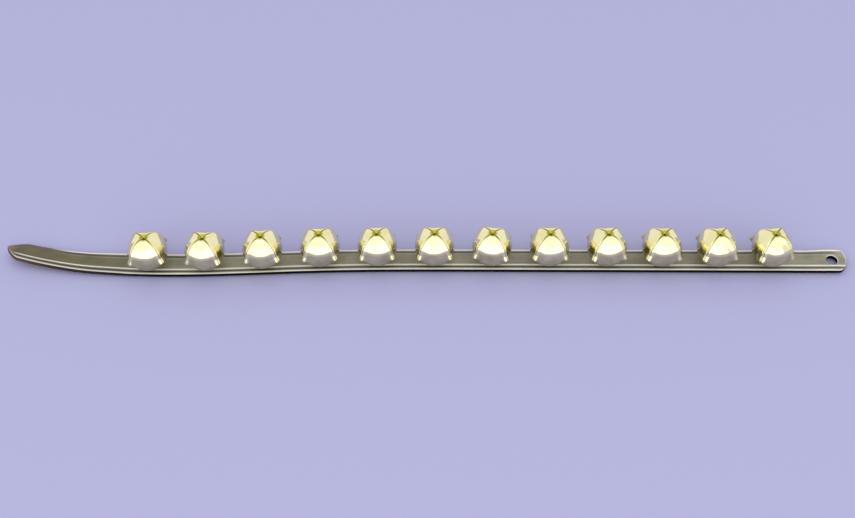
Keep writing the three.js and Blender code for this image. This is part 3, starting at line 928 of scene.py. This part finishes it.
def petal_spot(row, share, offset):
    """Polar angle and turn from the petal's middle at a row and a share of the petal's half width."""
    slot_row = min(row, SLOT_ROWS)
    edge_polar, gap = slot_edge(slot_row, offset)
    half_turn = PETAL_TURN / 2 - math.asin(max(0.0, gap) / (BELL_RADIUS * math.sin(edge_polar)))
    middle_polar = edge_polar
    if row > FUNNEL_ROWS:
        end = EYE_POLAR + SLOT_EYE_RADIUS / BELL_RADIUS
        share_down = (slot_row - FUNNEL_ROWS) / (SLOT_ROWS - FUNNEL_ROWS)
        middle_polar = mix(FUNNEL_POLAR, end, crowded(share_down))
    polar = mix(middle_polar, edge_polar, share * share)
    down = (max(0, row - SLOT_ROWS) / DOME_ROWS) ** DOME_CROWDING
    return mix(polar, CROWN_POLAR, down), share * half_turn


def mouth_tarnish(polar, turn):
    """Where the shell is tarnished: inside the mouth, and along the slots that run into it."""
    from_axis = BELL_RADIUS * math.sin(polar)
    mouth = 1 - smooth_step((from_axis - MOUTH_TARNISH_RADIUS) / MOUTH_TARNISH_EDGE)
    slot = 1 - smooth_step((slot_distance(polar, turn) - SLOT_TARNISH_REACH) / SLOT_TARNISH_EDGE)
    slot *= 1 - smooth_step((polar - SLOT_TARNISH_POLAR) / SLOT_TARNISH_FADE)
    return max(mouth if polar < math.pi / 2 else 0.0, slot)


def body_film_and_shade(polar, turn):
    """Where painted shade and a dull film lie: on the body below the petals, darkening it as a darker
    floor's reflection would, but not on the lips and knobs, which keep their bright polish.
    """
    below_knob = smooth_step((polar - EYE_POLAR) * BELL_RADIUS / KNOB_DROP)
    lips_and_knobs = 1 - smooth_step((slot_distance(polar, turn) - FILM_SHADE_FROM_SLOT) / FILM_SHADE_EDGE)
    return FILM_SHADE * smooth_step((polar - FILM_SHADE_TOP) / FILM_SHADE_FADE) * (1 - lips_and_knobs * (1 - below_knob))


def bell_mesh(name, seed):
    """Four petals, each an outer and an inner skin that meet at the free edge and at the bore."""
    shape = bmesh.new()
    film_and_shade_layer = shape.verts.layers.float.new("film_and_shade")
    tarnish_layer = shape.verts.layers.float.new("tarnish")
    shares = [math.sin(math.pi / 2 * (2 * i / PETAL_COLUMNS - 1)) for i in range(PETAL_COLUMNS + 1)]

    def vertex(point, film_and_shade, tarnish):
        made = shape.verts.new(point)
        made[film_and_shade_layer] = film_and_shade
        made[tarnish_layer] = tarnish
        return made

    def shell_vertex(petal, row, share, inset, offset):
        polar, turn = petal_spot(row, share, offset)
        point = bell_point(polar, turn + petal * PETAL_TURN, inset, seed)
        return vertex(point, body_film_and_shade(polar, turn), mouth_tarnish(polar, turn))

    def crown_ring(petal, ring, inset):
        rim = (BELL_RADIUS - inset) * math.sin(CROWN_POLAR)
        level = (BELL_RADIUS - inset) * math.cos(CROWN_POLAR)
        radius = mix(rim, BORE_RADIUS, ring / CROWN_RINGS)
        turns = [petal * PETAL_TURN + share * PETAL_TURN / 2 for share in shares]
        points = [(radius * math.cos(turn), radius * math.sin(turn), level) for turn in turns]
        # The crown under the bell takes full painted shade and film
        return [vertex(point, CROWN_FILM_SHADE, 0.0) for point in points]

    def grid(rows, flip, finish):
        for upper, lower in zip(rows, rows[1:]):
            for i in range(len(upper) - 1):
                corners = [upper[i], lower[i], lower[i + 1], upper[i + 1]]
                made = shape.faces.new(corners[::-1] if flip else corners)
                made.material_index = finish

    free_edge = [(row, -1) for row in range(SLOT_ROWS, 0, -1)]
    free_edge += [(0, share) for share in shares]
    free_edge += [(row, 1) for row in range(1, SLOT_ROWS + 1)]
    for petal in range(PETALS):
        bore = []
        for inset, flip, finish in ((0, False, POLISHED), (SHELL_WALL, True, DULL)):
            rows = []
            for row in range(SLOT_ROWS + DOME_ROWS + 1):
                rows.append([shell_vertex(petal, row, share, inset, RIM_ROUND) for share in shares])
            rows += [crown_ring(petal, ring, inset) for ring in range(1, CROWN_RINGS + 1)]
            grid(rows, flip, finish)
            bore.append(rows[-1])
        grid(bore, False, POLISHED)
        rim = []
        for depth, back in RIM_SECTION:
            inset = depth * SHELL_WALL
            offset = back * RIM_ROUND
            rim.append([shell_vertex(petal, row, share, inset, offset) for row, share in free_edge])
        grid(rim, True, POLISHED)
    bmesh.ops.remove_doubles(shape, verts=shape.verts, dist=SAME_SPOT)
    mesh = finished_mesh(name, shape, SHELL_SHARP)
    set_seed(mesh, seed)
    return mesh


# Turned and tumbled steel


def rounded(profile, radius):
    """A profile of radii and heights with its corners rounded, apart from its two ends."""
    points = [Vector(p) for p in profile]
    made = [points[0]]
    for before, corner, after in zip(points, points[1:], points[2:]):
        reach = min(radius, (before - corner).length / 2, (after - corner).length / 2)
        start = corner + (before - corner).normalized() * reach
        end = corner + (after - corner).normalized() * reach
        for i in range(ROUND_STEPS + 1):
            t = i / ROUND_STEPS
            spot = start.lerp(corner, t).lerp(corner.lerp(end, t), t)
            if (spot - made[-1]).length > SAME_SPOT:
                made.append(spot)
    return made + [points[-1]]


def lathe_mesh(name, profile, closed, seed):
    """A profile turned round Z, which closes on itself or runs from axis to axis."""
    shape = bmesh.new()
    rings = []
    for radius, height in profile:
        if radius < SAME_SPOT:
            rings.append([shape.verts.new((0, 0, height))])
            continue
        ring = []
        for i in range(LATHE_SIDES):
            turn = 2 * math.pi * i / LATHE_SIDES
            ring.append(shape.verts.new((radius * math.cos(turn), radius * math.sin(turn), height)))
        rings.append(ring)
    if closed:
        rings.append(rings[0])
    for lower, upper in zip(rings, rings[1:]):
        for i in range(LATHE_SIDES):
            steps = ((lower, i), (lower, i - 1), (upper, i - 1), (upper, i))
            corners = [ring[step % len(ring)] for ring, step in steps]
            kept = list(dict.fromkeys(corners))
            if len(kept) > 2:
                shape.faces.new(kept)
    mesh = finished_mesh(name, shape, TURNED_SHARP)
    set_seed(mesh, seed)
    return mesh


def rivet_profile(head_bottom):
    """Heights over the surface that the burr rests on: upset end, shank, seat and domed head."""
    rim_top = head_bottom + RIVET_HEAD_RIM
    head_top = head_bottom + RIVET_HEAD_HEIGHT
    side = [
        (0, UPSET_RECESS),
        (UPSET_RADIUS, UPSET_RECESS),
        (RIVET_RADIUS, BURR_THICKNESS - BURR_LAND),
        (RIVET_RADIUS, head_bottom),
        (RIVET_HEAD_RADIUS, head_bottom),
        (RIVET_HEAD_RADIUS, rim_top),
    ]
    dome = []
    for i in range(1, HEAD_STEPS + 1):
        angle = math.pi / 2 * i / HEAD_STEPS
        height = mix(rim_top, head_top, math.sin(angle))
        dome.append(Vector((RIVET_HEAD_RADIUS * math.cos(angle), height)))
    dome[-1].x = 0
    return rounded(side, SMALL_ROUND) + dome


def burr_profile():
    """A washer with a countersunk bore, from the middle of its bottom face round and back to it."""
    start = ((COUNTERSINK_RADIUS + BURR_RADIUS) / 2, 0)
    corners = [
        (BURR_RADIUS, 0),
        (BURR_RADIUS, BURR_THICKNESS),
        (BORE_RADIUS, BURR_THICKNESS),
        (BORE_RADIUS, BURR_THICKNESS - BURR_LAND),
        (COUNTERSINK_RADIUS, UPSET_RECESS),
        (COUNTERSINK_RADIUS, 0),
    ]
    return rounded([start] + corners + [start], SMALL_ROUND)[:-1]


def pea_mesh(name, seed):
    """A tumbled steel ball with a faint seam round it and worn flats."""
    shape = bmesh.new()
    bmesh.ops.create_icosphere(shape, subdivisions=PEA_SUBDIVISIONS, radius=PEA_RADIUS)
    for vert in shape.verts:
        outward = vert.co.normalized()
        off_seam = (outward.x + PEA_SEAM_TILT * outward.y) / PEA_SEAM_SHARE
        seam = PEA_SEAM * math.exp(-(off_seam**2))
        flat = PEA_FLAT_DEPTH * max(0.0, noise.noise(outward * PEA_FLATS + Vector((seed, 0, 0))))
        vert.co = outward * (PEA_RADIUS + seam - PEA_SEAM - flat)
    mesh = finished_mesh(name, shape, PEA_SHARP)
    set_seed(mesh, seed)
    return mesh


# Scene


def add_camera():
    forward = Vector((
        math.sin(VIEW_AZIMUTH) * math.cos(VIEW_ELEVATION),
        math.cos(VIEW_AZIMUTH) * math.cos(VIEW_ELEVATION),
        -math.sin(VIEW_ELEVATION),
    ))
    level = Vector((math.cos(VIEW_AZIMUTH), -math.sin(VIEW_AZIMUTH), 0))
    above = level.cross(forward)
    right = level * math.cos(VIEW_ROLL) + above * math.sin(VIEW_ROLL)
    up = above * math.cos(VIEW_ROLL) - level * math.sin(VIEW_ROLL)
    data = bpy.data.cameras.new("camera")
    data.sensor_fit = "HORIZONTAL"
    data.sensor_width = SENSOR_WIDTH
    data.lens = SENSOR_WIDTH * FOCAL_PIXELS / PHOTO_WIDTH
    data.clip_start = CLIP_START
    camera = bpy.data.objects.new("camera", data)
    turn = Matrix((right, up, -forward)).transposed().to_4x4()
    target = Vector((LAST_BELL.x, LAST_BELL.y, 0)) + VIEW_FROM_LAST_BELL.to_3d()
    camera.matrix_world = Matrix.Translation(target - forward * VIEW_DISTANCE) @ turn
    bpy.context.scene.collection.objects.link(camera)
    bpy.context.scene.camera = camera


def add_softbox(name, place, facing, size, radiance):
    """A rectangular light that sends out the given radiance."""
    data = bpy.data.lights.new(name, "AREA")
    data.shape = "RECTANGLE"
    data.size, data.size_y = size
    data.energy = radiance * size[0] * size[1] * math.pi
    light = bpy.data.objects.new(name, data)
    light.location = place
    light.rotation_euler = facing.to_track_quat("-Z", "Y").to_euler()
    light.visible_camera = False
    bpy.context.scene.collection.objects.link(light)


def add_studio():
    world = bpy.data.worlds.new("studio")
    world.use_nodes = True
    background = world.node_tree.nodes["Background"]
    background.inputs["Color"].default_value = WORLD_COLOUR
    background.inputs["Strength"].default_value = WORLD_STRENGTH
    bpy.context.scene.world = world
    add_softbox("wall_light", WALL_PLACE, WALL_FACING, WALL_SIZE, WALL_RADIANCE)
    add_softbox("top_light", TOP_PLACE, TOP_FACING, TOP_SIZE, TOP_RADIANCE)

    shape = bmesh.new()
    bmesh.ops.create_grid(shape, x_segments=1, y_segments=1, size=FLOOR_SIZE / 2)
    mesh = bpy.data.meshes.new("floor")
    shape.to_mesh(mesh)
    shape.free()
    paper = Finish("floor_paper", Base_Color=FLOOR_COLOUR, Roughness=FLOOR_ROUGHNESS)
    new_object("floor", mesh, [paper.material])
    bpy.context.scene.view_settings.view_transform = "Standard"


def add_piece(name, mesh, finishes, body, node, place=Vector(), turn=0.0):
    """A mesh that takes the place of a node and rides on a body."""
    piece = new_object(name, mesh, finishes)
    piece.location = place
    piece.rotation_euler.z = turn
    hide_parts(node)
    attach(piece, body)


def add_strap():
    finishes = [grain_leather_finish(), edge_leather_finish(), flesh_leather_finish()]
    add_piece("strap_leather", strap_mesh(), finishes, "strap", "strap")


def add_bells():
    """Each bell with the pea inside it and the rivet and burr that hold it."""
    shells = [brass_finish(), inner_brass_finish()]
    shot = [steel_finish("tumbled_steel", (0.16, 0.15, 0.14, 1), (0.42, 0.41, 0.39, 1), 0.30)]
    rivets = [steel_finish("rivet_steel", (0.22, 0.21, 0.19, 1), (0.52, 0.51, 0.48, 1), 0.28, turned=True)]
    burrs = [steel_finish("burr_steel", (0.25, 0.24, 0.21, 1), (0.58, 0.57, 0.54, 1), 0.24, turned=True)]
    for i, body in enumerate(BELL_BODIES):
        number = body.removeprefix("bell_")
        seed = SEED_STEP * i
        twist = math.radians(BELL_TWISTS_DEG[i])
        centre = BELL_CENTRES[body]
        foot = Vector((centre.x, centre.y, 0))
        pea_low, pea_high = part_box(f"pea_{number}")
        pea_centre = Vector((centre.x, centre.y, (pea_low.z + pea_high.z) / 2))
        head_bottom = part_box(f"rivet_{number}")[1].z - RIVET_HEAD_HEIGHT

        bell_node = f"bell_shell_{number}"
        pea_node = f"pea_{number}"
        rivet_node = f"rivet_{number}"
        burr_node = f"burr_{number}"
        shell = bell_mesh(body, seed)
        pea = pea_mesh(pea_node, seed)
        rivet = lathe_mesh(rivet_node, rivet_profile(head_bottom), False, seed)
        burr = lathe_mesh(burr_node, burr_profile(), True, seed)
        add_piece(f"bell_brass_{number}", shell, shells, body, bell_node, centre, twist)
        add_piece(f"pea_ball_{number}", pea, shot, pea_node, pea_node, pea_centre)
        add_piece(f"rivet_dome_{number}", rivet, rivets, "strap", rivet_node, foot)
        add_piece(f"burr_disc_{number}", burr, burrs, "strap", burr_node, foot)


add_camera()
add_studio()
add_strap()
add_bells()
